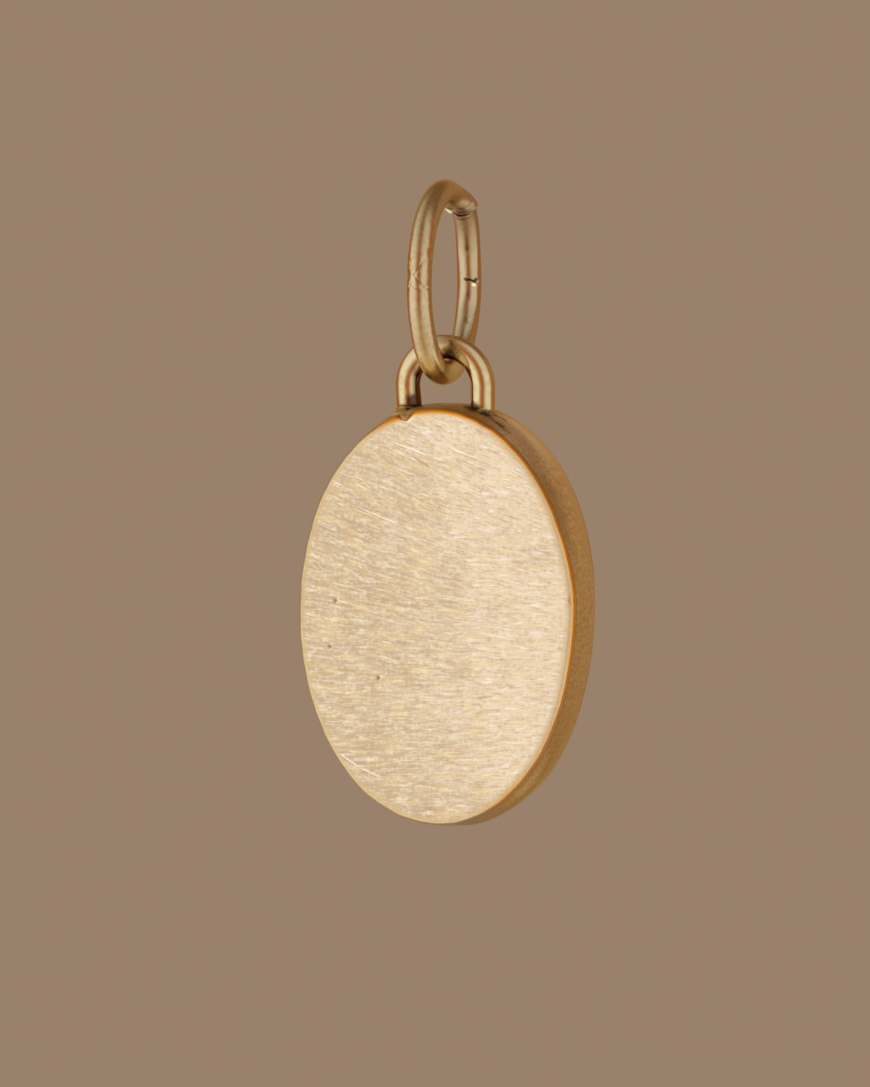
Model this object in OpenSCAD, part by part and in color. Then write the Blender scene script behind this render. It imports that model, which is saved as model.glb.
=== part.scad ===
// Oval gold pendant with a soldered loop, hanging from a jump ring.
// Millimetres, +Z up. The shown face looks towards -Y and the long axis of the oval is vertical.
// The origin is the inner top of the jump ring, where a chain or cord carries the pendant.

/* [Oval body] */
// Width of each flat face
face_w = 9.1; // [8.8:0.1:12]
// Height of each flat face
face_h = 13.25; // [12:0.05:18]
// Thickness from face to face
body_t = 2.4; // [1.6:0.1:3]
// Radius of the oval's rounded ends, which the wall follows from face to face too
end_r = 3.8; // [3.5:0.05:4.2]
// Size of the broken edge round each face
edge_break = 0.1; // [0.05:0.01:0.2]

/* [Loop] */
// Diameter of the loop's wire
loop_wire_d = 0.78; // [0.6:0.02:1]
// Distance between the middles of the two legs
loop_span = 2.5; // [2.3:0.1:4]
// Diameter of the solder round each foot
solder_d = 1.24; // [1.1:0.02:1.6]
// Height that the solder climbs up each leg
solder_rise = 0.3; // [0.1:0.05:0.5]

/* [Jump ring] */
// Diameter of the ring's wire
ring_wire_d = 0.8; // [0.6:0.05:1.2]
// Inner diameter of the ring
ring_inner_d = 5; // [4:0.1:8]
// Width of the cut where the ring was closed
ring_cut_w = 0.05; // [0.03:0.01:0.1]
// Angle of the cut above the ring's rear side
ring_cut_angle = 55; // [20:1:80]

/* [Fit] */
// Play between the loop and the ring that carries it
hanging_play = 0.05; // [0.03:0.01:0.2]
// Space between the bottom of the ring and the top of the oval body
ring_to_body = 0.6; // [0.4:0.05:1.5]

/* [Hidden] */
$fn = 96;

// Jump ring: the circle that the middle of its wire follows, and its centre
ring_r = (ring_inner_d + ring_wire_d) / 2;
ring_z = -ring_inner_d / 2;

// The pendant swings about the middle of the wire at the ring's lowest point
swing_z = ring_z - ring_r;

// Loop: its arc hangs over the ring's wire, its legs go down into the body
loop_r = loop_span / 2;
loop_top_z = swing_z + (ring_wire_d + loop_wire_d) / 2 + hanging_play;
loop_arc_z = loop_top_z - loop_r;

// Oval body: how far its wall swells past the flat faces, then half its width and height there
wall_swell = end_r - sqrt(pow(end_r, 2) - pow(body_t / 2, 2));
body_a = face_w / 2 + wall_swell;
body_b = face_h / 2 + wall_swell;
body_z = swing_z - ring_wire_d / 2 - ring_to_body - body_b;

// Four arcs draw the oval: two ends, and two sides whose radius lets them run into the ends smoothly
end_c = body_b - end_r;
side_r = (pow(body_a, 2) + pow(end_c, 2) - pow(end_r, 2)) / (2 * (body_a - end_r));
side_c = side_r - body_a;

// Where the lines from the side arcs' centres through the end arcs' centres leave the body
cut_reach = 2 * side_r;
cut_x = cut_reach * side_c / (side_r - end_r) - side_c;
cut_z = cut_reach * end_c / (side_r - end_r);

// The end discs stay this much inside the side arcs, so that the solids cross cleanly
ledge = 0.005;

// Height of the body's top edge where a leg meets it, and how deep the leg goes in
foot_z = body_z + end_c + sqrt(pow(end_r, 2) - pow(loop_r, 2));
leg_sink = 0.35;
leg_bottom_z = foot_z - leg_sink;

gold = [0.83, 0.68, 0.43];

// Turned disc of radius r at mid thickness, with a swollen wall and the edges of its faces cut back
module disc(r) {
    flat = r - wall_swell - edge_break;
    arc_r = min(r, end_r);
    rotate([90, 0, 0])
        rotate_extrude()
            intersection() {
                union() {
                    translate([r - arc_r, 0]) circle(arc_r);
                    if (r > arc_r)
                        translate([0, -body_t / 2]) square([r - arc_r, body_t]);
                }
                polygon([
                    [0, -body_t / 2],
                    [flat, -body_t / 2],
                    [flat + body_t / 2, 0],
                    [flat, body_t / 2],
                    [0, body_t / 2]
                ]);
            }
}

// Sides of the body, where two large discs cross, cut off along the lines where the end arcs take over
module sides() {
    intersection() {
        translate([-side_c, 0, 0]) disc(side_r);
        translate([side_c, 0, 0]) disc(side_r);
        rotate([90, 0, 0])
            linear_extrude(2 * body_t, center = true)
                polygon([
                    [0, end_c], [cut_x, cut_z], [cut_x, -cut_z],
                    [0, -end_c], [-cut_x, -cut_z], [-cut_x, cut_z]
                ]);
    }
}

// Solid oval block: its sides, and a disc for each rounded end
module oval_block() {
    translate([0, 0, body_z]) {
        sides();
        for (end = [-1, 1])
            translate([0, 0, end * end_c]) disc(end_r - ledge);
    }
}

// Bent wire of the loop, with its two legs sunk into the body
module loop_wire() {
    translate([0, 0, loop_arc_z])
        rotate([90, 0, 0])
            rotate_extrude(angle = 180)
                translate([loop_r, 0]) circle(loop_wire_d / 2);
    for (side = [-1, 1])
        translate([side * loop_r, 0, leg_bottom_z])
            cylinder(d = loop_wire_d, h = loop_arc_z - leg_bottom_z);
}

// Small cone of solder that joins each foot to the body
module solder_foot(side) {
    translate([side * loop_r, 0, leg_bottom_z])
        cylinder(d1 = solder_d, d2 = loop_wire_d, h = leg_sink + solder_rise);
}

module oval_pendant() {
    color(gold) {
        oval_block();
        loop_wire();
        for (side = [-1, 1]) solder_foot(side);
    }
}

// Round wire bent to a ring that lies across the pendant, with a fine cut high on its rear side
module jump_ring() {
    cut_turn = 2 * asin(ring_cut_w / 2 / ring_r);
    color(gold)
        translate([0, 0, ring_z])
            rotate([90, 0, 90])
                rotate([0, 0, ring_cut_angle + cut_turn / 2])
                    rotate_extrude(angle = 360 - cut_turn)
                        translate([ring_r, 0]) circle(ring_wire_d / 2);
}

jump_ring();
oval_pendant();
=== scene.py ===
# Oval gold pendant with a soldered loop, hanging from a jump ring: looks, light and camera.
import math

import bpy
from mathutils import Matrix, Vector, noise


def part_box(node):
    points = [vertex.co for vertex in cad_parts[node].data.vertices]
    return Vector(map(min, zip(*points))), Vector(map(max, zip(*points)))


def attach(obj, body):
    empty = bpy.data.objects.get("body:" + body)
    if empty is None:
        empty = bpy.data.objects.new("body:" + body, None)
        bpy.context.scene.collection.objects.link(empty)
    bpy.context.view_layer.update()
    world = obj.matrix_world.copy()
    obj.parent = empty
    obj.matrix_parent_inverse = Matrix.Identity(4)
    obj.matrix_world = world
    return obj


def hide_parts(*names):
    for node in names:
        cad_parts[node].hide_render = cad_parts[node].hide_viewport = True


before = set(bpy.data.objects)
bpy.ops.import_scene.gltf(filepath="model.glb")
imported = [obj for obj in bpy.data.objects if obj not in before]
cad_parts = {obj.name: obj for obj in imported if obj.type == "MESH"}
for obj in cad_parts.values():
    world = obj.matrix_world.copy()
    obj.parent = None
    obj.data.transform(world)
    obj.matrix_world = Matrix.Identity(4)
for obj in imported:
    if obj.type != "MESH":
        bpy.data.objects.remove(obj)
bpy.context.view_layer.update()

MM = 0.001

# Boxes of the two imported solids, in metres
PENDANT_LOW, PENDANT_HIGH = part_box("oval_pendant")
RING_LOW, RING_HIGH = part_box("jump_ring")

# Oval body, in millimetres: half thickness, middle, and half width and height at mid thickness, with a
# little room below it
HALF_T = PENDANT_HIGH.y / MM
OVAL_X = 0.07
MID_A = PENDANT_HIGH.x / MM - OVAL_X
BODY_TALL = 13.60
MID_B = BODY_TALL / 2
BODY_CLEAR = 0.05
BODY_Z = PENDANT_LOW.z / MM + MID_B + BODY_CLEAR

# Half width and height of the shown face and of the back, and the radius of their edges
FACE_A, FACE_B = 4.61, 6.69
BACK_A, BACK_B = 4.65, 6.74
EDGE_R = 0.06

# Power of the oval's curve, where 2 is an ellipse: in the shown face, its gain to the rear, and more on top
OVAL_POWER, POWER_GAIN, POWER_TOP = 2.035, 0.15, 0.03

# Where filing took the outline in or left it full, in millimetres
FACE_LEAN = 0.05
RIGHT_TRIM, RIGHT_FILL = 0.07, 0.09
LOWER_TRIM, LOWER_FILL = 0.10, 0.09

# Middle and span of the right side's fullness, as shares of the oval's half height
FILL_MIDDLE, FILL_SPAN = 0.13, 0.38

# Unevenness that filing leaves: its height and the size of its waves, and how far to the rear the edge's
# chips reach, in millimetres
FACE_WAVES = (0.006, 1.7)
WALL_WAVES = (0.012, 1.3)
EDGE_CHIPS = (0.022, 0.45)
CHIPS_REACH = 0.4

# How far the waves are set in, as a share of their height, so that wall and wires stay inside their sizes
WALL_INSET, WEAR_INSET = 0.6, 0.7

# Loop, in millimetres: wire, arc, feet, how far the left leg leans, and the share of this that it widens by
WIRE_R = 0.395
LOOP_R = 1.25
LOOP_X = 0.02
LOOP_ARC_Z = PENDANT_HIGH.z / MM - WIRE_R - LOOP_R
LEG_END_Z = -6.95
LEFT_LEAN = 0.09
LEAN_SWELL = 0.30

# Skin over the loop and its solder: size of its cells in millimetres, strength and number of smoothings
SKIN_CELL = 0.03
SKIN_SMOOTHING, SKIN_PASSES = 0.5, 10

# Wear of the wires: depth as a share of the radius, size of its waves in millimetres, and seed; and the
# distance from the wire's middle at which the waves are read
LOOP_WEAR = (0.014, 0.8, 6)
RING_WEAR = (0.012, 0.9, 5)
WEAR_R = 0.4

# Unevenness of a solder lump: share of its size, and size of the waves where the lump has radius 1
LUMP_WAVES = (0.10, 0.7)

# Jump ring, in millimetres: wire, middle line, and the cut with the rounding of its edges
RING_WIRE_R = RING_HIGH.x / MM
RING_R = (RING_HIGH.z - RING_LOW.z) / 2 / MM - RING_WIRE_R
RING_Z = (RING_HIGH.z + RING_LOW.z) / 2 / MM
CUT_ANGLE = math.radians(55)
CUT_GAP = 0.05
END_ROUND = 0.05

# Ends of the ring at the cut: length over which each is bent, and by how much, in millimetres
UPPER_END, REAR_END = 1.2, 2.2
UPPER_ASIDE, REAR_ASIDE, REAR_OUTWARD = 0.08, 0.12, 0.02

# How much wider and thinner the cutters squashed the upper end, as shares of the wire
SQUASH_WIDER, SQUASH_THINNER = 0.46, 0.138

# Numbers of points: round the body and in its rings, along and round each wire, and in a lump of solder;
# END_SHARES are the places of points along a rounded end of the ring
TURNS = 448
FACE_RINGS, EDGE_RINGS, WALL_RINGS, BACK_RINGS = 90, 7, 22, 40
RING_STEPS, RING_AROUND = 640, 72
END_SHARES = [0.0, 0.12, 0.35, 0.65, 1.0]
LEG_STEPS, ARC_STEPS, LOOP_AROUND = 24, 96, 48
LUMP_ROWS, LUMP_AROUND = 16, 24


# Shapes

def smooth(value):
    """Rises softly from 0 to 1 while value goes from 0 to 1."""
    value = min(max(value, 0.0), 1.0)
    return value * value * (3 - 2 * value)


def wobble(point, scale, seed):
    """Soft noise between about -1 and 1; scale is the size of its lumps in millimetres."""
    return noise.noise(Vector(point) / scale + Vector((seed * 7.3, seed * 3.1, seed * 5.7)))


def new_piece(name, points, faces, materials, face_slots=None, rim=None):
    """Smooth mesh object from points in millimetres; rim is each point's distance inside the edge."""
    mesh = bpy.data.meshes.new(name)
    mesh.from_pydata([Vector(p) * MM for p in points], [], faces)
    for material in materials:
        mesh.materials.append(material)
    if face_slots:
        mesh.polygons.foreach_set("material_index", face_slots)
    if rim:
        mesh.attributes.new("rim", "FLOAT", "POINT").data.foreach_set("value", rim)
    mesh.polygons.foreach_set("use_smooth", [True] * len(mesh.polygons))
    mesh.validate()
    mesh.update()
    piece = bpy.data.objects.new(name, mesh)
    bpy.context.scene.collection.objects.link(piece)
    return piece


def skin_faces(rows, around, closed=True):
    """Faces over a first pole, rows of points that go round, and, where closed, a last pole."""
    faces = [(0, 1 + i, 1 + (i + 1) % around) for i in range(around)]
    for r in range(rows - 1):
        for i in range(around):
            j = (i + 1) % around
            low, high = 1 + r * around, 1 + (r + 1) * around
            faces.append((low + i, high + i, high + j, low + j))
    if closed:
        last = 1 + (rows - 1) * around
        faces += [(last + i, last + around, last + (i + 1) % around) for i in range(around)]
    return faces


def dent(points, centre, reach, push):
    """Moves the points near centre by push, fading to nothing at the distance reach."""
    centre, push = Vector(centre), Vector(push)
    for i, point in enumerate(points):
        fade = 1 - (point - centre).length / reach
        if fade > 0:
            points[i] = point + push * smooth(fade)


# Oval body

def outline(turn, depth):
    """Point (x, z) of the oval's outline; depth runs from -1 at the shown face to 1 at the back."""
    share = (depth + 1) / 2
    front, rear = smooth(1 - share * 2), smooth(share * 2)
    swell = 1 - depth * depth
    flat_a = FACE_A + (BACK_A - FACE_A) * share
    flat_b = FACE_B + (BACK_B - FACE_B) * share
    a = flat_a + (MID_A - (FACE_A + BACK_A) / 2) * swell
    b = flat_b + (MID_B - (FACE_B + BACK_B) / 2) * swell
    cos, sin = math.cos(turn), math.sin(turn)
    power = 2 / (OVAL_POWER + (POWER_GAIN + POWER_TOP * sin) * rear)
    # Each of the three windows is 1 along its stretch of the outline and 0 elsewhere
    middle_right = smooth(cos * 3) * smooth(1 - abs(sin - FILL_MIDDLE) / FILL_SPAN)
    lower_right = smooth(cos * 3 - 1.8) * smooth(0.35 - 1.5 * sin)
    bottom_right = smooth(cos * 2.6 + 0.35) * smooth(1.3 - cos * 1.6) * smooth(-sin * 2)
    x = a * math.copysign(abs(cos) ** power, cos)
    x -= (FACE_LEAN * smooth(sin) + RIGHT_TRIM * smooth(cos * 1.5) - RIGHT_FILL * middle_right) * front
    x -= LOWER_TRIM * lower_right * rear
    z = b * math.copysign(abs(sin) ** power, sin) - LOWER_FILL * bottom_right * rear
    return x, z


def body_profile():
    """Rings of the body from the middle of the shown face to the middle of the back.

    Each is (scale towards the middle, inset from the outline, y, part), where part is face, edge or wall.
    """
    rings = [(i / FACE_RINGS, EDGE_R, -HALF_T, "face") for i in range(1, FACE_RINGS)]
    bend = [math.pi / 2 * i / EDGE_RINGS for i in range(EDGE_RINGS + 1)]
    edge = [(EDGE_R * (1 - math.cos(angle)), EDGE_R * (1 - math.sin(angle))) for angle in bend]
    rings += [(1, inset, -HALF_T + depth, "edge") for inset, depth in reversed(edge)]
    half_wall = HALF_T - EDGE_R
    rings += [(1, 0, half_wall * (2 * i / WALL_RINGS - 1), "wall") for i in range(1, WALL_RINGS)]
    rings += [(1, inset, HALF_T - depth, "edge") for inset, depth in edge]
    rings += [(i / BACK_RINGS, EDGE_R, HALF_T, "face") for i in range(BACK_RINGS - 1, 0, -1)]
    return rings


def ring_point(turn, scale, inset, y):
    """Point of the body's skin; inset is measured straight in from the outline."""
    x, z = outline(turn, y / HALF_T)
    normal = Vector((x / MID_A ** 2, 0, z / MID_B ** 2)).normalized()
    return Vector(((x - normal.x * inset) * scale + OVAL_X, y, (z - normal.z * inset) * scale + BODY_Z))


def uneven(point, part):
    """Slight unevenness that filing leaves in the faces, in the wall and along the shown face's edge."""
    if part == "face":
        height, size = FACE_WAVES
        return Vector((0, height * wobble(point, size, 1) * -math.copysign(1, point.y), 0))
    out = Vector((point.x - OVAL_X, 0, point.z - BODY_Z)).normalized()
    height, size = WALL_WAVES
    waves = height * (wobble(point, size, 2) - WALL_INSET)
    height, size = EDGE_CHIPS
    chips = height * wobble(point, size, 3) * smooth(1 - (point.y + HALF_T) / CHIPS_REACH)
    return out * (waves + chips)


# Dents of the body: place, reach and push in millimetres; the last three are the face's pits
BODY_DENTS = [
    ((-0.94, -1.20, -6.68), 0.38, (0.00, 0.02, -0.20)),
    ((1.05, -1.20, -6.80), 0.40, (0.00, 0.00, -0.03)),
    ((1.60, -1.20, -6.98), 0.40, (0.00, 0.00, -0.05)),
    ((4.56, -1.20, -12.52), 0.16, (-0.06, 0.03, 0.00)),
    ((-3.29, -1.20, -12.72), 0.09, (0.00, 0.04, 0.00)),
    ((-3.49, -1.20, -14.21), 0.08, (0.00, 0.03, 0.00)),
    ((-1.85, -1.20, -15.17), 0.08, (0.00, 0.04, 0.00)),
]
FACE_PITS = [(place[0], 0, place[2]) for place, reach, push in BODY_DENTS[-3:]]


def make_body(materials):
    """Thick oval plate with two flat faces, rounded edges and a slightly swollen wall."""
    rings = body_profile()
    points = [Vector((OVAL_X, -HALF_T, BODY_Z))]
    for scale, inset, y, part in rings:
        for i in range(TURNS):
            point = ring_point(2 * math.pi * i / TURNS, scale, inset, y)
            points.append(point + uneven(point, part))
    points.append(Vector((OVAL_X, HALF_T, BODY_Z)))
    for place, reach, push in BODY_DENTS:
        dent(points, place, reach, push)
    parts = [part for scale, inset, y, part in rings]
    walls = [False, *("face" not in pair for pair in zip(parts, parts[1:])), False]
    slots = [int(wall) for wall in walls for i in range(TURNS)]
    rim = [rim_distance(p) for p in points]
    return new_piece("oval_body", points, skin_faces(len(rings), TURNS), materials, slots, rim)


def rim_distance(point):
    """How far a point of a face lies inside the oval's outline, in millimetres; below 0 on the wall."""
    aside, above = point.x - OVAL_X, point.z - BODY_Z
    x, z = outline(math.atan2(above / MID_B, aside / MID_A), max(-1.0, min(1.0, point.y / HALF_T)))
    return math.hypot(x, z) - math.hypot(aside, above) - (HALF_T - abs(point.y))


# Wire pieces

def tube(stations, around, section):
    """Points and faces of a swept wire.

    Each station is (centre, side, out, along): side and out are the half axes of its section there, and
    section(along, turn) scales them.
    """
    points = []
    for centre, side, out, along in stations:
        for i in range(around):
            turn = 2 * math.pi * i / around
            points.append(centre + (side * math.cos(turn) + out * math.sin(turn)) * section(along, turn))
    faces = []
    for s in range(len(stations) - 1):
        for i in range(around):
            j = (i + 1) % around
            faces.append((s * around + i, s * around + j, (s + 1) * around + j, (s + 1) * around + i))
    faces.append(tuple(range(around))[::-1])
    faces.append(tuple((len(stations) - 1) * around + i for i in range(around)))
    return points, faces


def worn_section(depth, size, seed):
    """Function for a wire's radius as a share of its nominal one, softly uneven as handling leaves it."""
    def section(along, turn):
        place = (math.cos(turn) * WEAR_R, math.sin(turn) * WEAR_R, along)
        return 1 + depth * (wobble(place, size, seed) - WEAR_INSET)
    return section


# Plier dents of the jump ring: angle above its rear side, angle round the wire, reach and depth in
# millimetres
RING_DENTS = [
    (174, 150, 0.30, 0.030),
    (178, 30, 0.30, 0.020),
    (160, 20, 0.30, 0.020),
    (20, 280, 0.40, 0.020),
    (-18, 300, 0.45, 0.020),
    (46, 290, 0.40, 0.030),
]

# Narrow cuts across the ring's wire: angle above its rear side, middle and half span round it in degrees,
# half width and depth in millimetres, and slant in degrees of the ring for each degree round the wire
RING_NICKS = [
    (180.5, 100, 100, 0.060, 0.022, 0.02),
    (174.0, 95, 60, 0.075, 0.012, 0.22),
    (174.0, 95, 60, 0.075, 0.012, -0.22),
    (168.5, 140, 40, 0.070, 0.012, 0.10),
    (-0.5, 296, 42, 0.055, 0.060, 0.04),
    (58.0, 265, 150, 0.050, 0.030, 0.02),
    (61.0, 250, 110, 0.060, 0.030, -0.03),
    (65.0, 290, 100, 0.070, 0.025, 0.03),
]

# How far along the ring a nick's points are looked for and how far it strays, in degrees, and the size of
# its waves in millimetres
NICK_WINDOW, NICK_STRAY, NICK_WAVES = 20, 1.2, 0.3


def make_ring(material):
    """Round wire bent to a ring, with a cut whose ends are a little out of line."""
    half_cut = CUT_GAP / 2 / RING_R
    span = 2 * math.pi - 2 * half_cut
    ends = [END_ROUND / RING_R * share for share in END_SHARES]
    turns = ends + [ends[-1] + (span - 2 * ends[-1]) * i / RING_STEPS for i in range(1, RING_STEPS)]
    turns += [span - end for end in reversed(ends)]
    side = Vector((1, 0, 0))
    stations = []
    for turn in turns:
        angle = CUT_ANGLE + half_cut + turn
        out = Vector((0, math.cos(angle), math.sin(angle)))
        outward, aside, squash = cut_shape(turn * RING_R, (span - turn) * RING_R)
        centre = Vector((0, 0, RING_Z)) + out * (RING_R + outward) + side * aside
        radius = RING_WIRE_R * end_share(min(turn, span - turn) * RING_R)
        wide, thin = 1 + SQUASH_WIDER * squash, 1 - SQUASH_THINNER * squash
        stations.append((centre, side * radius * wide, out * radius * thin, angle * RING_R))
    points, faces = tube(stations, RING_AROUND, worn_section(*RING_WEAR))
    for angle, around, reach, depth in RING_DENTS:
        place, inward = ring_place(angle, around)
        dent(points, place, reach, inward * depth)
    for facts in RING_NICKS:
        nick(points, *facts)
    return new_piece("ring_wire", points, faces, [material])


def cut_shape(from_upper, from_rear):
    """How the wire stands this far from its ends: bent outwards and aside, and its share of the squash."""
    upper = 1 - smooth(from_upper / UPPER_END)
    rear = 1 - smooth(from_rear / REAR_END)
    return REAR_OUTWARD * rear, REAR_ASIDE * rear + UPPER_ASIDE * upper, upper


def end_share(from_end):
    """Share of the wire's full radius this far from an end, whose edge is rounded."""
    back = max(0.0, 1 - from_end / END_ROUND)
    return 1 - END_ROUND / RING_WIRE_R * (1 - math.sqrt(1 - back * back))


def degrees_past(turn, angle):
    """How far a turn in radians lies past an angle in degrees, from -180 to 180."""
    return (math.degrees(turn) - angle + 180) % 360 - 180


def nick(points, angle, around, half_span, half_width, depth, slant):
    """Presses a narrow cut across part of the ring's wire."""
    for i, point in enumerate(points):
        off = degrees_past(math.atan2(point.z - RING_Z, point.y), angle)
        if abs(off) > NICK_WINDOW:
            continue
        out = Vector((0, point.y, point.z - RING_Z)).normalized()
        normal = point - Vector((0, 0, RING_Z)) - out * RING_R
        away = degrees_past(math.atan2(normal.dot(out), normal.x), around)
        off += slant * away + NICK_STRAY * wobble(normal, NICK_WAVES, angle)
        fade = smooth(1 - abs(math.radians(off)) * RING_R / half_width)
        points[i] = point - normal.normalized() * depth * fade * smooth(2 - 2 * abs(away) / half_span)


def ring_place(angle, around):
    """Point on the ring's wire and the direction into the wire there, from angles in degrees."""
    angle, around = math.radians(angle), math.radians(around)
    out = Vector((0, math.cos(angle), math.sin(angle)))
    normal = Vector((1, 0, 0)) * math.cos(around) + out * math.sin(around)
    return Vector((0, 0, RING_Z)) + out * RING_R + normal * RING_WIRE_R, -normal


# Solder lumps: centre and half sizes in millimetres
SOLDER_LEFT = [
    ((-1.25, 0.00, -6.74), (0.50, 0.52, 0.24)),
    ((-1.14, -0.42, -6.78), (0.48, 0.60, 0.25)),
    ((-1.04, -0.84, -6.86), (0.46, 0.34, 0.19)),
    ((-1.18, -0.20, -6.62), (0.40, 0.40, 0.24)),
]
SOLDER_RIGHT = [
    ((1.25, 0.00, -6.74), (0.50, 0.54, 0.24)),
    ((1.28, -0.22, -6.80), (0.34, 0.44, 0.18)),
    ((1.15, -0.20, -6.66), (0.36, 0.34, 0.20)),
]


def lump(centre, half):
    """Points and faces of a lump of solder."""
    middle = Vector(centre)
    share, size = LUMP_WAVES
    points = [middle + Vector((0, 0, half[2]))]
    for r in range(1, LUMP_ROWS):
        lean = math.pi * r / LUMP_ROWS
        flat = math.sin(lean)
        for i in range(LUMP_AROUND):
            turn = 2 * math.pi * i / LUMP_AROUND
            unit = Vector((flat * math.cos(turn), flat * math.sin(turn), math.cos(lean)))
            grow = 1 + share * wobble(unit, size, 9 + centre[0])
            points.append(middle + Vector([unit[k] * half[k] * grow for k in range(3)]))
    points.append(middle - Vector((0, 0, half[2])))
    return points, skin_faces(LUMP_ROWS - 1, LUMP_AROUND)


def loop_stations():
    """Centre line of the loop, up one leg, over the arc and down the other leg."""
    stations = []
    leg, arc = LOOP_ARC_Z - LEG_END_Z, math.pi * LOOP_R
    for i in range(LEG_STEPS):
        rise = leg * i / LEG_STEPS
        lean = LEFT_LEAN * (1 - i / LEG_STEPS)
        radius = WIRE_R + lean * LEAN_SWELL
        centre = Vector((LOOP_X + lean - LOOP_R, 0, LEG_END_Z + rise))
        stations.append((centre, Vector((-radius, 0, 0)), Vector((0, radius, 0)), rise))
    for i in range(ARC_STEPS + 1):
        angle = math.pi * (1 - i / ARC_STEPS)
        out = Vector((math.cos(angle), 0, math.sin(angle)))
        centre = Vector((LOOP_X, 0, LOOP_ARC_Z)) + out * LOOP_R
        stations.append((centre, out * WIRE_R, Vector((0, WIRE_R, 0)), leg + arc * i / ARC_STEPS))
    for i in range(1, LEG_STEPS + 1):
        drop = leg * i / LEG_STEPS
        centre = Vector((LOOP_X + LOOP_R, 0, LOOP_ARC_Z - drop))
        stations.append((centre, Vector((WIRE_R, 0, 0)), Vector((0, WIRE_R, 0)), leg + arc + drop))
    return stations


def make_loop(material):
    """Bent wire loop and the solder at its two feet, run together into one skin."""
    points, faces = tube(loop_stations(), LOOP_AROUND, worn_section(*LOOP_WEAR))
    for centre, half in SOLDER_LEFT + SOLDER_RIGHT:
        more, more_faces = lump(centre, half)
        faces += [tuple(len(points) + i for i in face) for face in more_faces]
        points += more
    piece = new_piece("loop_and_solder", points, faces, [material])
    remesh = piece.modifiers.new("skin", "REMESH")
    remesh.mode = "VOXEL"
    remesh.voxel_size = SKIN_CELL * MM
    remesh.use_smooth_shade = True
    soften = piece.modifiers.new("soften", "SMOOTH")
    soften.factor = SKIN_SMOOTHING
    soften.iterations = SKIN_PASSES
    apply_modifiers(piece)
    return piece


def apply_modifiers(piece):
    """Turns the piece's modifiers into plain mesh."""
    graph = bpy.context.evaluated_depsgraph_get()
    mesh = bpy.data.meshes.new_from_object(piece.evaluated_get(graph), depsgraph=graph)
    piece.modifiers.clear()
    piece.data = mesh
    mesh.polygons.foreach_set("use_smooth", [True] * len(mesh.polygons))


# Materials

class Graph:
    """Short names for the nodes of one node tree."""

    def __init__(self, tree):
        self.tree = tree

    def put(self, socket, value):
        """Links a node's output to a socket, or sets the socket to a plain value."""
        if isinstance(value, bpy.types.NodeSocket):
            self.tree.links.new(value, socket)
        else:
            socket.default_value = value

    def node(self, kind, inputs=(), **settings):
        node = self.tree.nodes.new(kind)
        for key, value in settings.items():
            setattr(node, key, value)
        for key, value in dict(inputs).items():
            self.put(node.inputs[key], value)
        return node

    def math(self, operation, *values, clamp=False):
        node = self.node("ShaderNodeMath", enumerate(values), operation=operation, use_clamp=clamp)
        return node.outputs[0]

    def times(self, first, second):
        return self.math("MULTIPLY", first, second)

    def plus(self, first, second):
        return self.math("ADD", first, second)

    def most(self, first, second):
        return self.math("MAXIMUM", first, second)

    def times_plus(self, first, second, more):
        """First times second, plus more."""
        return self.math("MULTIPLY_ADD", first, second, more)

    def away(self, value, middle):
        """How far a value is from the middle, either way."""
        return self.math("ABSOLUTE", self.math("SUBTRACT", value, middle))

    def vectors(self, operation, inputs, output=0):
        return self.node("ShaderNodeVectorMath", inputs, operation=operation).outputs[output]

    def distance(self, first, second):
        return self.vectors("DISTANCE", {0: first, 1: second}, "Value")

    def scaled(self, vector, scale):
        return self.vectors("MULTIPLY", {0: vector, 1: scale})

    def place(self):
        """Place on the object in millimetres, as a vector."""
        return self.scaled(self.node("ShaderNodeTexCoord").outputs["Object"], (1 / MM,) * 3)

    def split(self, vector):
        return self.node("ShaderNodeSeparateXYZ", {0: vector}).outputs

    def join(self, x, y, z):
        return self.node("ShaderNodeCombineXYZ", {0: x, 1: y, 2: z}).outputs[0]

    def noise(self, vector, scale, detail, rough):
        inputs = {"Vector": vector, "Scale": scale, "Detail": detail, "Roughness": rough}
        return self.node("ShaderNodeTexNoise", inputs).outputs["Fac"]

    def span(self, value, low, high, to_low=0.0, to_high=1.0):
        """Maps low..high to to_low..to_high, held at both ends."""
        inputs = {"Value": value, "From Min": low, "From Max": high, "To Min": to_low, "To Max": to_high}
        return self.node("ShaderNodeMapRange", inputs).outputs[0]

    def mix(self, share, first, second):
        """Mixes two colours."""
        inputs = {"Factor": share, 6: first, 7: second}
        return self.node("ShaderNodeMix", inputs, data_type="RGBA").outputs[2]

    def rim(self):
        """Distance inside the face's edge that the mesh stores, in millimetres."""
        return self.node("ShaderNodeAttribute", attribute_name="rim").outputs["Fac"]

    def spot(self, place, centre, reach):
        """0 from the distance reach on, rising to 1 near the centre."""
        return self.span(self.distance(place, centre), reach, reach * 0.3)

    def streak(self, place, start, end, reach):
        """1 along the line from start to end, falling to 0 at the distance reach and at both ends."""
        start = Vector(start)
        run = Vector(end) - start
        offset = self.vectors("SUBTRACT", {0: place, 1: start})
        share = self.vectors("DOT_PRODUCT", {0: offset, 1: run / run.length_squared}, "Value")
        share = self.math("ADD", share, 0.0, clamp=True)
        nearest = self.vectors("SCALE", {0: run, "Scale": share})
        ends = self.span(self.away(share, 0.5), 0.5, 0.3)
        return self.times(self.span(self.distance(offset, nearest), reach, reach * 0.2), ends)

    def bump(self, height):
        """Normal from a height in millimetres."""
        return self.node("ShaderNodeBump", {"Height": height, "Distance": MM}).outputs[0]


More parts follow.
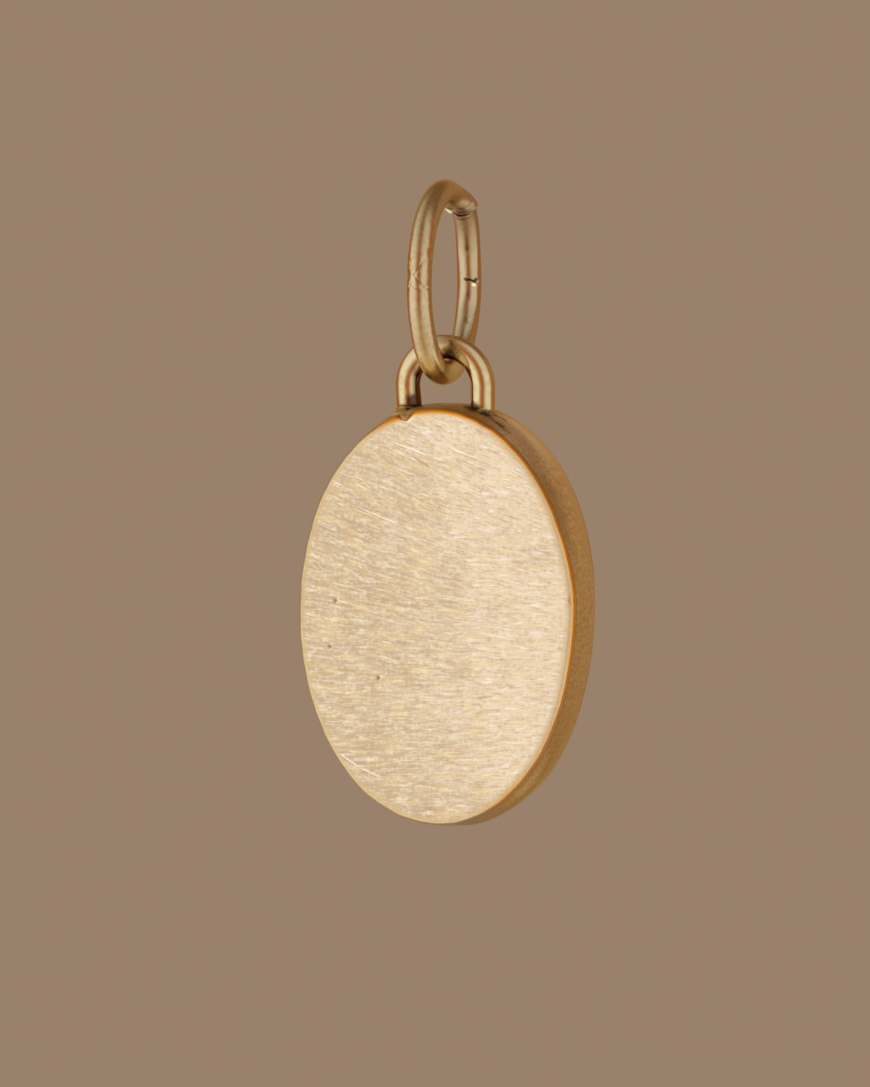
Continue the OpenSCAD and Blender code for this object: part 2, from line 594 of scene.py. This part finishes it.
class Surface(Graph):
    """Node tree of a new material with one principled shader."""

    def __init__(self, name):
        self.material = bpy.data.materials.new(name)
        self.material.use_nodes = True
        super().__init__(self.material.node_tree)
        self.tree.nodes.clear()
        output = self.tree.nodes.new("ShaderNodeOutputMaterial")
        self.shader = self.tree.nodes.new("ShaderNodeBsdfPrincipled")
        self.put(output.inputs["Surface"], self.shader.outputs[0])

    def fill(self, values):
        """Puts the values into the shader's sockets of these names."""
        for name, value in values.items():
            self.put(self.shader.inputs[name], value)
        return self.material


GOLD = (0.78, 0.61, 0.39, 1)
DEEP_GOLD = (0.57, 0.37, 0.16, 1)
STRIP_SHADE_GOLD = (0.50, 0.30, 0.12, 1)
UNDER_GOLD = (0.50, 0.42, 0.38, 1)
REAR_GOLD = (0.64, 0.44, 0.185, 1)
LOOP_GOLD = (0.575, 0.46, 0.25, 1)
LOOP_SHADE = (0.50, 0.35, 0.165, 1)
SOLDER_GOLD = (0.62, 0.43, 0.21, 1)
LAYER_GOLD = (0.44, 0.31, 0.17, 1)
SHADED_END_GOLD = (0.40, 0.28, 0.16, 1)
WORN_GOLD = (0.51, 0.40, 0.24, 1)
WORN_SHADE = (0.44, 0.305, 0.155, 1)
SATIN_SHADE = (0.585, 0.468, 0.285, 1)
SATIN_DIM_LEFT = (0.68, 0.578, 0.405, 1)
SATIN_LIT_RIGHT = (0.88, 0.82, 0.63, 1)
SATIN_LIGHT = (0.98, 0.96, 0.77, 1)
SATIN_GLINT = (1.0, 1.0, 0.92, 1)
YELLOW_GOLD = (0.94, 0.80, 0.43, 1)
PALE_YELLOW = (1.0, 0.96, 0.54, 1)
FLECK_ORANGE = (0.96, 0.62, 0.27, 1)
RUBBED_GOLD = (0.66, 0.51, 0.27, 1)
RIM_SHEEN_YELLOW = (0.72, 0.58, 0.29, 1)
RIM_HIGHLIGHT_GOLD = (0.84, 0.45, 0.09, 1)
RIM_HIGHLIGHT_ORANGE = (0.58, 0.22, 0.012, 1)
BURR_SHADE = (0.46, 0.38, 0.28, 1)
WALL_DARK_BAND = (0.35, 0.245, 0.125, 1)
EDGE_HIGHLIGHT_ORANGE = (0.42, 0.165, 0.018, 1)
EDGE_SHADE = (0.34, 0.235, 0.15, 1)
EDGE_TINT = (0.95, 0.84, 0.64, 1)
RING_TINT = (0.90, 0.74, 0.52, 1)
LOOP_TINT = (0.82, 0.58, 0.35, 1)
BOTTOM_GOLD = (0.72, 0.60, 0.33, 1)
RING_REAR_GOLD = (0.44, 0.335, 0.205, 1)
APEX_GOLD = (0.58, 0.45, 0.26, 1)
LEG_SHADE = (0.13, 0.065, 0.03, 1)
PALE_WALL = (0.86, 0.72, 0.55, 1)
MOTTLE_GOLD = (0.36, 0.22, 0.09, 1)
STAIN_AND_SHADE = (0.085, 0.045, 0.025, 1)
PIT_BROWN = (0.35, 0.16, 0.05, 1)

# Relief of the metal, in millimetres
BRUSH_RELIEF, FINE_RELIEF, SCRATCH_DEPTH = 0.016, 0.003, 0.006
WALL_RELIEF, LOOP_RELIEF, SOLDER_RELIEF = 0.012, 0.003, 0.03
RING_RELIEF, TORN_RELIEF = 0.005, 0.06

# Roughness of each metal where its noise is low and where it is high, and these two values of the noise
FACE_ROUGH, WALL_ROUGH = (0.36, 0.48), (0.20, 0.30)
LOOP_ROUGH, RING_ROUGH = (0.10, 0.16), (0.14, 0.23)
CLOUDS = (0.3, 0.7)

# How much rougher it is under dirt and painted shade, in the top strip round the loop's feet, in the solder,
# at the ring's top and bottom, and near its cut
DIRT_AND_SHADE_ROUGH, STRIP_ROUGH, SOLDER_ROUGH = 0.15, 0.25, 0.42
ENDS_ROUGH, DULL_ROUGH = 0.05, 0.26

# Brush marks of the face: length and height of a mark in millimetres, seed, and detail of its noise
BRUSH_MARKS = {
    "broad": (0.32, 0.085, 1.0, 5.0),
    "short": (0.22, 0.045, 12.0, 3.0),
    "fine": (0.16, 0.028, 23.0, 1.0),
    "long": (0.80, 0.034, 34.0, 1.0),
    "hue": (0.50, 0.12, 45.0, 3.0),
    "yellow": (0.36, 0.040, 56.0, 1.0),
    "glint": (0.26, 0.055, 67.0, 2.0),
    "orange": (0.22, 0.040, 78.0, 2.0),
}

# Slant of the marks: between these heights it goes from the first slope to the second; and how far a mark
# strays up or down, in millimetres
SLANT = (BODY_Z - 2.0, BODY_Z + 4.5, 0.0, 0.42)
COUNTER_SLANT = (BODY_Z - 3.0, BODY_Z + 5.0, -0.12, 0.16)
STRAY = 0.22

# Zones of the face in millimetres: where each starts, where it is full, and, if given, its value at both.
# The first four shift a place towards the right side, painted paler as if more brightly lit, or away from
# it.
LIT_TOP_Z = (BODY_Z + 3.4, BODY_Z + 5.5, 0.0, 2.4)
LIT_LOWER_Z = (BODY_Z - 0.5, BODY_Z - 3.0)
LIT_LOWER_X = (0.0, 2.0, -0.4, 1.8)
DIM_BOTTOM_Z = (BODY_Z - 4.4, BODY_Z - 6.2, 0.0, -3.0)
FRONT_Y = (0, -0.5)
RUBBED_X = (0.5, 2.5, 0.0, 0.8)
BURR_X = (3.4, 4.0)
THIN_X = (2.4, 4.2, 1.0, 1.4)

# Bands along the face's rim, by the distance inside its edge: a painted yellow sheen where the edge turns
# away, a rubbed band, the burr, and a painted orange edge highlight
YELLOW_BAND = (0.24, 0.14, 0.0, 0.7)
RUBBED_BAND = (0.42, 0.20)
GOLD_BAND = (0.19, 0.13)
ORANGE_BAND = (0.13, 0.08)
BURR_MIDDLE, BURR_BAND = 0.20, (0.035, 0.010)

# Upper right edge of the oval, where the painted orange edge highlight is strongest: slopes, zone, and its
# fade downwards
WARM_ACROSS, WARM_UP, WARM_ZONE = 0.20, 0.06, (-0.10, 0.15)
WARM_Z = (BODY_Z - 4.5, BODY_Z - 0.5, 0.62, 1.0)

# Larger scratches of the shown face: x and z of both ends, and reach to either side, in millimetres
BRIGHT_SCRATCHES = [
    ((-1.54, -7.54), (-0.18, -8.03), 0.045),
    ((-2.55, -9.71), (-1.11, -10.26), 0.040),
    ((0.49, -7.76), (1.71, -8.16), 0.045),
    ((-3.23, -17.64), (-2.52, -18.10), 0.045),
    ((-2.52, -18.10), (-1.78, -18.40), 0.045),
]
DARK_SCRATCHES = [
    ((-0.71, -8.01), (-0.08, -8.38), 0.050),
    ((-4.06, -11.45), (-3.73, -11.77), 0.030),
    ((-1.58, -19.04), (-1.21, -19.03), 0.045),
    ((-0.31, -19.38), (0.52, -19.35), 0.045),
]
PIT_REACH = 0.068

# Zones of the wall, in millimetres, given like those of the face; the last two go by the distance inside the
# face's edge, which is below 0 on the wall
STRIP_Z, STRIP_X = (-7.9, -6.7), (2.6, 1.4)
UPPER_Z, UPPER_X = (-12.5, -10.0), (1.0, 2.2)
DARK_BAND_Y = (0.10, -0.50)
MOTTLED_Z = (-11.5, -9.5)
PALE_Z, PALE_X = (-8.9, -7.6), (1.5, 2.3)
REAR_Y = (0.2, 0.9, 0.0, 0.85)
LOWER_Z = (-15.0, -17.0, 0.0, 0.35)
UNDER_Z = (-19.0, -19.8)
EDGE_BAND = (-0.11, -0.04, 0.0, 0.95)
EDGE_ROUGH = (-0.12, -0.05, 0.0, 0.50)

# Dark flux left by the soldering: centre, reach and strength of a spot, then ends, reach and strength of a
# streak along the wall, in millimetres
FLUX_SPOTS = [
    ((-0.98, -0.30, -6.34), 0.36, 1.0),
    ((-0.82, -0.20, -6.52), 0.26, 0.8),
    ((1.02, -0.36, -6.64), 0.46, 1.1),
    ((1.42, -0.45, -6.78), 0.38, 1.0),
    ((1.12, -0.40, -6.52), 0.26, 0.8),
    ((1.20, -0.60, -6.86), 0.32, 0.9),
    ((-1.60, -0.70, -6.98), 0.20, 0.8),
    ((-1.20, -1.14, -7.02), 0.14, 0.6),
    ((1.62, -0.20, -6.86), 0.30, 0.9),
]
FLUX_STREAKS = [
    ((1.40, -0.55, -6.78), (2.55, -0.76, -7.20), 0.22, 0.62),
    ((1.50, -0.60, -6.80), (2.20, -0.72, -7.05), 0.08, 0.80),
    ((1.55, -0.10, -6.72), (2.25, -0.20, -6.92), 0.12, 0.55),
    ((1.20, -0.90, -6.90), (2.00, -0.98, -7.12), 0.12, 0.50),
]

# Painted shadow on the loop's top, next to where the ring hangs in it
APEX_SHADOW = [((0.30, -0.32, -4.84), 0.44, 0.75), ((0.05, -0.30, -4.86), 0.28, 0.60)]

# Zones of the loop, in millimetres: its top, the inner side of its left leg, and the top of the solder
APEX_Z = (-5.4, -4.8)
INNER_LEFT_X, INNER_RIGHT_X, INNER_Z = (-1.02, -0.90), (-0.30, -0.60), (-5.05, -5.45)
SOLDER_Z = (-6.34, -6.46)

# Zones of the ring, in millimetres: height away from its middle, its bottom and its rear
RING_ENDS = (1.9, 2.7)
BOTTOM_Z = (RING_Z - 2.0, RING_Z - 2.7)
RING_REAR_Y = (0.0, 1.5, 0.0, 0.7)

# Dull wire near the cut, darkened there with painted shade, and torn wire near the cut: angle above the
# ring's rear side, angle round the wire, and reach
DULL_SHADE_PLACE, DULL_SHADE_REACH = (50, 285), 1.35
TORN_PLACE, TORN_REACH = (58, 250), 0.85

# How tightly the torn wire's layers lie: sideways, along the wire at the cut, and outwards
LAYER_SCALES = (1.6, 11.0, 3.0)

# Grime of the ring: angle above its rear side, angle round the wire, reach and strength; then streaks
# between two such places, two of them painted dark reflection lines on the rear branch, and painted bright
# glints
RING_GRIME = [((-0.2, 318), 0.12, 0.9), ((60, 300), 0.30, 0.6), ((66, 250), 0.22, 0.5)]
RING_STREAKS = [
    ((0.6, 262), (-1.4, 330), 0.09, 1.0),
    # These two streaks are painted dark reflection lines along the middle of the rear branch
    ((-5, 284), (-36, 288), 0.15, 0.75),
    ((40, 286), (5, 288), 0.10, 0.60),
    ((57, 262), (58, 340), 0.08, 0.6),
    ((181.0, 150), (180.6, 95), 0.04, 0.45),
    ((180.6, 95), (180.6, 40), 0.04, 0.45),
]
RING_GLINTS = [((57.0, 196), (58.0, 246), 0.15, 1.0), ((-3.4, 294), (-4.0, 318), 0.065, 0.8)]


def strokes(g, kind, x, across):
    """Noise drawn out along x, as brush marks of this kind leave it."""
    length, height, seed, detail = BRUSH_MARKS[kind]
    return g.noise(g.join(g.times(x, 0.5 / length), seed, g.times(across, 0.5 / height)), 1.0, detail, 0.55)


def edge_highlight_side(g, x, z):
    """1 at the upper right edge of the oval, where the painted orange edge highlight is strongest, and 0 at
    the lower left.
    """
    toward = g.times_plus(x, WARM_ACROSS, g.times_plus(z, WARM_UP, -WARM_UP * BODY_Z))
    return g.times(g.span(toward, *WARM_ZONE), g.span(z, *WARM_Z))


def lit_side(g, x, z):
    """How far towards the painted lit right side a place of the face counts, in millimetres, with ragged
    patches.
    """
    patches = g.noise(g.join(x, 3.0, g.times(z, 1.3)), 0.50, 4.0, 0.6)
    aside = g.times_plus(patches, 14.0, g.plus(x, -7.0))
    aside = g.plus(aside, g.span(z, *LIT_TOP_Z))
    aside = g.times_plus(g.span(z, *LIT_LOWER_Z), g.span(x, *LIT_LOWER_X), aside)
    return g.plus(aside, g.span(z, *DIM_BOTTOM_Z))


def rim_tones(g, tone, x, z, grain):
    """Adds the face's rim: a painted yellow sheen where its edge turns away, a rubbed band, its burr and a
    painted orange highlight on its upper right edge.
    """
    rim = g.rim()
    # Painted yellow sheen where the face's edge turns away
    tone = g.mix(g.span(rim, *YELLOW_BAND), tone, RIM_SHEEN_YELLOW)
    tone = g.mix(g.times(g.span(rim, *RUBBED_BAND), g.span(x, *RUBBED_X)), tone, RUBBED_GOLD)
    burr = g.times(g.span(g.away(rim, BURR_MIDDLE), *BURR_BAND), g.span(grain, 0.40, 0.55, 0.1, 0.5))
    tone = g.mix(g.times(burr, g.span(x, *BURR_X)), tone, BURR_SHADE)
    thin = g.times(rim, g.span(x, *THIN_X))
    edge_highlight = edge_highlight_side(g, x, z)
    for band, colour in ((GOLD_BAND, RIM_HIGHLIGHT_GOLD), (ORANGE_BAND, RIM_HIGHLIGHT_ORANGE)):
        tone = g.mix(g.times(g.span(thin, *band), edge_highlight), tone, colour)
    return tone


def brushed_face():
    """Satin face: short, nearly level brush marks that slant in the upper part, and longer scratches, with
    painted light that brightens it to the right and painted glints in the marks.
    """
    g = Surface("satin_gold_face")
    x, y, z = g.split(g.place())
    stray = g.noise(g.join(x, 5.0, z), 0.8, 2.0, 0.5)
    across = g.times_plus(stray, STRAY, g.times_plus(x, g.span(z, *SLANT), z))
    level = g.times_plus(x, g.span(z, *COUNTER_SLANT), z)
    broad = strokes(g, "broad", x, across)
    short = strokes(g, "short", x, level)
    long = strokes(g, "long", x, across)
    fine = strokes(g, "fine", x, across)
    grain = g.noise(g.join(x, 90.0, z), 8.0, 3.0, 0.6)
    marks = g.times(broad, 0.22)
    for layer, weight in ((short, 0.24), (long, 0.18), (fine, 0.12), (grain, 0.24)):
        marks = g.times_plus(layer, weight, marks)
    aside = lit_side(g, x, z)
    # Painted light across the face: dim on the left, paler and brighter towards the right
    tone = g.mix(g.span(aside, -2.6, 3.8), SATIN_DIM_LEFT, SATIN_LIT_RIGHT)
    # Brush marks, painted darker and lighter; the lighter ones are partly painted glints
    tone = g.mix(g.span(marks, 0.50, 0.37), tone, SATIN_SHADE)
    tone = g.mix(g.span(marks, 0.49, 0.61), tone, SATIN_LIGHT)
    tone = g.mix(g.span(strokes(g, "hue", x, across), 0.48, 0.68, 0.0, 0.4), tone, YELLOW_GOLD)
    tone = g.mix(g.span(strokes(g, "yellow", x, across), 0.62, 0.72, 0.0, 0.8), tone, PALE_YELLOW)
    # Painted glints: white streaks in the brush marks, on the lit right side only
    glint = g.span(strokes(g, "glint", x, level), 0.57, 0.68)
    tone = g.mix(g.times(glint, g.span(aside, -1.0, 2.4)), tone, SATIN_GLINT)
    orange = g.times_plus(g.span(aside, -2.0, 3.0), 0.02, strokes(g, "orange", x, level))
    tone = g.mix(g.span(orange, 0.63, 0.76, 0.0, 0.9), tone, FLECK_ORANGE)
    flat = g.join(x, 0.0, z)
    height = g.times_plus(marks, BRUSH_RELIEF, g.times(fine, FINE_RELIEF))
    groups = ((BRIGHT_SCRATCHES, 0.8, SATIN_LIGHT), (DARK_SCRATCHES, 0.5, DEEP_GOLD))
    for scratches, share, colour in groups:
        for start, end, reach in scratches:
            mark = g.streak(flat, (start[0], 0, start[1]), (end[0], 0, end[1]), reach)
            tone = g.mix(g.times(mark, share), tone, colour)
            height = g.times_plus(mark, -SCRATCH_DEPTH, height)
    front = g.span(y, *FRONT_Y)
    for pit in FACE_PITS:
        tone = g.mix(g.times(g.times(g.spot(flat, pit, PIT_REACH), front), 0.85), tone, PIT_BROWN)
    tone = rim_tones(g, tone, x, z, grain)
    rough = g.span(broad, *CLOUDS, *FACE_ROUGH)
    return g.fill({"Base Color": tone, "Metallic": 1.0, "Roughness": rough, "Normal": g.bump(height)})


def flux_and_shade(g, place, spots, streaks):
    """Where dark soldering residue, dirt and painted shade lie, from 0 to 1, with ragged edges."""
    ragged = g.noise(place, 6.0, 5.0, 0.7)
    marks = [g.times(g.spot(place, centre, reach), strength) for centre, reach, strength in spots]
    marks += [g.times(g.streak(place, *line), strength) for *line, strength in streaks]
    most = marks[0]
    for mark in marks[1:]:
        most = g.most(most, mark)
    return g.times(g.span(g.times_plus(ragged, 1.2, most), 0.75, 1.35), 0.95)


def soiled_and_shaded(g, tone, dark, rough, height, tint):
    """Gold of this tone and roughness, dulled and darkened where dirt and painted shade lie."""
    return g.fill({
        "Base Color": g.mix(dark, tone, STAIN_AND_SHADE),
        "Metallic": 1.0,
        "Specular Tint": tint,
        "Roughness": g.times_plus(dark, DIRT_AND_SHADE_ROUGH, rough),
        "Normal": g.bump(height),
    })


def filed_wall():
    """Wall and edges: smoother than the faces, with faint marks across."""
    g = Surface("satin_gold_wall")
    place = g.place()
    x, y, z = g.split(place)
    marks = g.noise(g.scaled(place, (9, 2.5, 9)), 1.0, 3.0, 0.6)
    specks = g.noise(place, 11.0, 2.0, 0.6)
    cloud = g.noise(place, 1.6, 4.0, 0.65)
    mottle = g.times_plus(specks, 0.5, g.times(marks, 0.5))
    tone = g.mix(g.span(mottle, 0.40, 0.60), DEEP_GOLD, GOLD)
    # Darker, browner top strip of the wall round and between the loop's feet: painted shade; it is rougher
    # there too
    strip_shade = g.times(g.span(z, *STRIP_Z), g.span(g.math("ABSOLUTE", x), *STRIP_X))
    strip_shade = g.times(strip_shade, g.span(cloud, 0.35, 0.55, 0.6, 1.0))
    tone = g.mix(strip_shade, tone, STRIP_SHADE_GOLD)
    # Darker band on the upper right wall by the shown face: painted dark reflection
    upper = g.times(g.span(z, *UPPER_Z), g.span(x, *UPPER_X))
    dark_band = g.times(upper, g.span(g.times_plus(cloud, 0.8, y), *DARK_BAND_Y))
    tone = g.mix(g.times(dark_band, 0.75), tone, WALL_DARK_BAND)
    patchy = g.span(g.times_plus(specks, 0.35, g.noise(place, 4.0, 4.0, 0.65)), 0.66, 0.78)
    patchy = g.times(patchy, g.span(g.plus(z, y), *MOTTLED_Z))
    tone = g.mix(g.times(patchy, 0.4), tone, MOTTLE_GOLD)
    pale = g.times(g.span(z, *PALE_Z), g.span(x, *PALE_X))
    tone = g.mix(g.times(pale, g.span(specks, 0.35, 0.6, 0.5, 1.0)), tone, PALE_WALL)
    # Browner far half of the upper right wall: painted reflection
    tone = g.mix(g.times(g.span(y, *REAR_Y), upper), tone, REAR_GOLD)
    tone = g.mix(g.span(z, *LOWER_Z), tone, REAR_GOLD)
    tone = g.mix(g.span(z, *UNDER_Z), tone, UNDER_GOLD)
    rim = g.rim()
    # Edge band of the wall: painted shade, turning to a painted orange highlight at the upper right
    tone = g.mix(g.span(rim, *EDGE_BAND), tone, g.mix(edge_highlight_side(g, x, z), EDGE_SHADE, EDGE_HIGHLIGHT_ORANGE))
    rough = g.times_plus(strip_shade, STRIP_ROUGH, g.span(cloud, *CLOUDS, *WALL_ROUGH))
    rough = g.most(rough, g.span(rim, *EDGE_ROUGH))
    dark = flux_and_shade(g, place, FLUX_SPOTS, FLUX_STREAKS)
    return soiled_and_shaded(g, tone, dark, rough, g.times(mottle, WALL_RELIEF), EDGE_TINT)


def loop_gold():
    """Polished wire of the loop, and duller, browner solder at its feet."""
    g = Surface("loop_gold")
    place = g.place()
    x, _, z = g.split(place)
    marks = g.noise(place, 5.0, 3.0, 0.55)
    tone = g.mix(g.span(marks, 0.25, 0.55), LOOP_SHADE, LOOP_GOLD)
    tone = g.mix(g.span(z, *APEX_Z), tone, APEX_GOLD)
    inner = g.times(g.span(x, *INNER_LEFT_X), g.span(x, *INNER_RIGHT_X))
    tone = g.mix(g.times(inner, g.span(z, *INNER_Z)), tone, LEG_SHADE)
    lumps = g.noise(place, 3.0, 3.0, 0.6)
    solder = g.span(g.times_plus(lumps, 0.35, z), *SOLDER_Z)
    tone = g.mix(solder, tone, SOLDER_GOLD)
    rough = g.times_plus(solder, SOLDER_ROUGH, g.span(lumps, *CLOUDS, *LOOP_ROUGH))
    grain = g.noise(place, 10.0, 4.0, 0.7)
    height = g.times_plus(marks, LOOP_RELIEF, g.times(g.times(grain, solder), SOLDER_RELIEF))
    # Flux at the feet, and the painted shadow at the loop's top
    dark = flux_and_shade(g, place, FLUX_SPOTS + APEX_SHADOW, FLUX_STREAKS)
    return soiled_and_shaded(g, tone, dark, rough, height, LOOP_TINT)


def on_ring(place):
    """Point on the ring's wire, from its angles in degrees."""
    return ring_place(*place)[0]


def ring_gold():
    """Worn wire of the jump ring, dull at its top and bottom and grimy in its marks; painted shade darkens
    it near its cut and along its rear branch, and it has painted glints.
    """
    g = Surface("ring_gold")
    place = g.place()
    x, y, z = g.split(place)
    marks = g.noise(place, 7.0, 4.0, 0.6)
    cloud = g.noise(place, 1.6, 3.0, 0.6)
    tone = g.mix(g.span(marks, 0.30, 0.60), WORN_SHADE, WORN_GOLD)
    tone = g.mix(g.span(z, *BOTTOM_Z), tone, BOTTOM_GOLD)
    # Darker towards the ring's rear
    tone = g.mix(g.span(y, *RING_REAR_Y), tone, RING_REAR_GOLD)
    # Near the cut the wire is duller, and darkened with painted shade
    dull = g.spot(place, on_ring(DULL_SHADE_PLACE), DULL_SHADE_REACH)
    tone = g.mix(dull, tone, SHADED_END_GOLD)
    cos, sin = math.cos(CUT_ANGLE), math.sin(CUT_ANGLE)
    run = g.times_plus(y, sin, g.times(z, -cos))
    rise = g.times_plus(y, cos, g.times(z, sin))
    scaled = [g.times(value, scale) for value, scale in zip((x, run, rise), LAYER_SCALES)]
    layers = g.noise(g.join(*scaled), 1.0, 3.0, 0.6)
    torn = g.spot(place, on_ring(TORN_PLACE), TORN_REACH)
    tone = g.mix(g.times(torn, g.span(layers, 0.50, 0.62)), tone, LAYER_GOLD)
    tone = g.mix(g.times(torn, g.span(layers, 0.48, 0.38)), tone, STAIN_AND_SHADE)
    # Painted glints near the cut and under the nick on the rear branch
    for first, last, reach, strength in RING_GLINTS:
        mark = g.streak(place, on_ring(first), on_ring(last), reach)
        tone = g.mix(g.times(mark, strength), tone, PALE_YELLOW)
    ends = g.span(g.away(z, RING_Z), *RING_ENDS)
    rough = g.times_plus(ends, ENDS_ROUGH, g.span(cloud, *CLOUDS, *RING_ROUGH))
    rough = g.times_plus(dull, DULL_ROUGH, rough)
    height = g.times_plus(g.times(torn, layers), TORN_RELIEF, g.times(marks, RING_RELIEF))
    grime = [(on_ring(spot), *rest) for spot, *rest in RING_GRIME]
    streaks = [(on_ring(first), on_ring(last), *rest) for first, last, *rest in RING_STREAKS]
    return soiled_and_shaded(g, tone, flux_and_shade(g, place, grime, streaks), rough, height, RING_TINT)


# Stage

# Bowl, in metres: radius, height of its floor and of its top edge, and radius of the curve between
BOWL_R, BOWL_FLOOR, BOWL_TOP, BOWL_CORNER = 0.46, -0.16, 0.42, 0.22
FLOOR_STEPS, CORNER_STEPS, BOWL_AROUND = 4, 16, 96
BACKDROP = (0.318, 0.220, 0.147, 1)


def make_stage():
    """Seamless round sweep: a flat floor that curves up into a plain wall all round."""
    flat = BOWL_R - BOWL_CORNER
    rows = [(flat * i / FLOOR_STEPS, BOWL_FLOOR) for i in range(1, FLOOR_STEPS + 1)]
    for i in range(1, CORNER_STEPS + 1):
        angle = math.pi / 2 * i / CORNER_STEPS
        rise = BOWL_CORNER * (1 - math.cos(angle))
        rows.append((flat + BOWL_CORNER * math.sin(angle), BOWL_FLOOR + rise))
    rows.append((BOWL_R, BOWL_TOP))
    points = [Vector((0, 0, BOWL_FLOOR))]
    for radius, z in rows:
        turns = [2 * math.pi * i / BOWL_AROUND for i in range(BOWL_AROUND)]
        points += [Vector((radius * math.cos(turn), radius * math.sin(turn), z)) for turn in turns]
    mesh = bpy.data.meshes.new("floor")
    mesh.from_pydata(points, [], skin_faces(len(rows), BOWL_AROUND, closed=False))
    mesh.polygons.foreach_set("use_smooth", [True] * len(mesh.polygons))
    mesh.materials.append(backdrop())
    floor = bpy.data.objects.new("floor", mesh)
    floor.visible_diffuse = floor.visible_glossy = floor.visible_shadow = False
    bpy.context.scene.collection.objects.link(floor)


def backdrop():
    """Evenly lit, matt colour for the stage."""
    g = Surface("floor")
    return g.fill({
        "Base Color": (0, 0, 0, 1),
        "Specular IOR Level": 0.0,
        "Emission Color": BACKDROP,
        "Emission Strength": 1.0,
    })


def direction(azimuth, elevation):
    """Unit vector from the object towards a place round it; azimuth 0 is in front of the shown face."""
    a, e = math.radians(azimuth), math.radians(elevation)
    return Vector((math.sin(a) * math.cos(e), -math.cos(a) * math.cos(e), math.sin(e)))


# Light tent: brown and dim in front, taupe behind, with a soft bright wall on either side of the camera
TENT_FRONT = (0.60, 0.26, 0.10, 1)
FRONT_FLOOR = (0.74, 0.51, 0.28, 1)
FRONT_TOP = (0.45, 0.28, 0.16, 1)
TENT_LOW = (0.36, 0.245, 0.125, 1)
TENT_BACK = (0.51, 0.36, 0.225, 1)
BACK_TOP = (0.31, 0.19, 0.105, 1)
KEY_LIGHT = (1.35, 1.42, 1.47, 1)
SIDE_LIGHT = (1.15, 1.18, 1.17, 1)
RAISED_LIGHT = (0.85, 0.93, 0.91, 1)

# Zones of the tent, by the parts of a unit vector: where each starts and where it is full
LOW_TO_BACK, BACK_TO_TOP = (-0.45, 0.10), (0.40, 0.62)
FRONT_TO_FLOOR, FRONT_TO_TOP = (-0.30, -0.70), (0.60, 0.90)
FRONT_EDGE, FRONT_RISE = (0.80, 0.55), 0.6
RAISED_Z, FLOOR_FADE = (0.25, 0.75), (-0.98, -0.35, 0.5, 1.0)

# Bright walls: how far each shifts aside with height and with depth, its zone from the side, how far it
# shifts to the rear with height, its zone from the rear, and its colour
BRIGHT_WALLS = [
    (0.18, 0.0, (0.02, -0.55), -0.85, (0.10, -0.45), KEY_LIGHT),
    (0.40, 0.30, (0.38, 0.78), 0.1, (0.28, -0.12), SIDE_LIGHT),
]


def light_tent():
    """Room of soft light, worked out from the direction that the object sees it in."""
    world = bpy.data.worlds.new("light_tent")
    world.use_nodes = True
    bpy.context.scene.world = world
    bpy.context.scene.view_settings.view_transform = "Standard"
    g = Graph(world.node_tree)
    x, y, z = g.split(g.node("ShaderNodeTexCoord").outputs["Generated"])
    up = g.most(z, 0.0)
    down = g.most(g.times(z, -1.0), 0.0)
    tone = g.mix(g.span(z, *LOW_TO_BACK), TENT_LOW, TENT_BACK)
    tone = g.mix(g.span(z, *BACK_TO_TOP), tone, BACK_TOP)
    front = g.mix(g.span(z, *FRONT_TO_FLOOR), TENT_FRONT, FRONT_FLOOR)
    front = g.mix(g.span(z, *FRONT_TO_TOP), front, FRONT_TOP)
    tone = g.mix(g.span(g.times_plus(up, FRONT_RISE, y), *FRONT_EDGE), tone, front)
    fall = g.span(z, *FLOOR_FADE)
    raised = g.span(z, *RAISED_Z)
    for up_aside, down_aside, aside_zone, up_rear, rear_zone, light in BRIGHT_WALLS:
        aside = g.times_plus(down, down_aside, g.times_plus(up, up_aside, x))
        rear = g.times_plus(down, -1.0, g.times_plus(up, up_rear, y))
        wall = g.times(g.span(aside, *aside_zone), g.span(rear, *rear_zone))
        tone = g.mix(g.times(wall, fall), tone, g.mix(raised, light, RAISED_LIGHT))
    g.put(world.node_tree.nodes["Background"].inputs["Color"], tone)


# Camera: angles, distance in metres and lens, with the point in the middle of the frame in millimetres
CAMERA_AZIMUTH, CAMERA_ELEVATION = 16.2, 4.6
CAMERA_DISTANCE, CAMERA_LENS, SENSOR_WIDTH = 0.18, 185.4, 36
CLIP_START, CLIP_END = 0.01, 3
FRAME_SIDE, FRAME_Z = -0.31, -10.90


def make_camera():
    """Camera that looks at the object from the photo's angles."""
    a = math.radians(CAMERA_AZIMUTH)
    target = Vector((math.cos(a) * FRAME_SIDE, math.sin(a) * FRAME_SIDE, FRAME_Z)) * MM
    back = direction(CAMERA_AZIMUTH, CAMERA_ELEVATION)
    data = bpy.data.cameras.new("camera")
    data.lens, data.sensor_width = CAMERA_LENS, SENSOR_WIDTH
    data.clip_start, data.clip_end = CLIP_START, CLIP_END
    camera = bpy.data.objects.new("camera", data)
    camera.location = target + back * CAMERA_DISTANCE
    camera.rotation_euler = back.to_track_quat("Z", "Y").to_euler()
    bpy.context.scene.collection.objects.link(camera)
    bpy.context.scene.camera = camera


# Putting it together

def dress():
    """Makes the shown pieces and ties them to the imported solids."""
    face, wall = brushed_face(), filed_wall()
    body = make_body([face, wall])
    loop = make_loop(loop_gold())
    for piece in (body, loop):
        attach(piece, "pendant")
        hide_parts("oval_pendant")
    ring = make_ring(ring_gold())
    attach(ring, "ring")
    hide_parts("jump_ring")


make_camera()
make_stage()
light_tent()
dress()
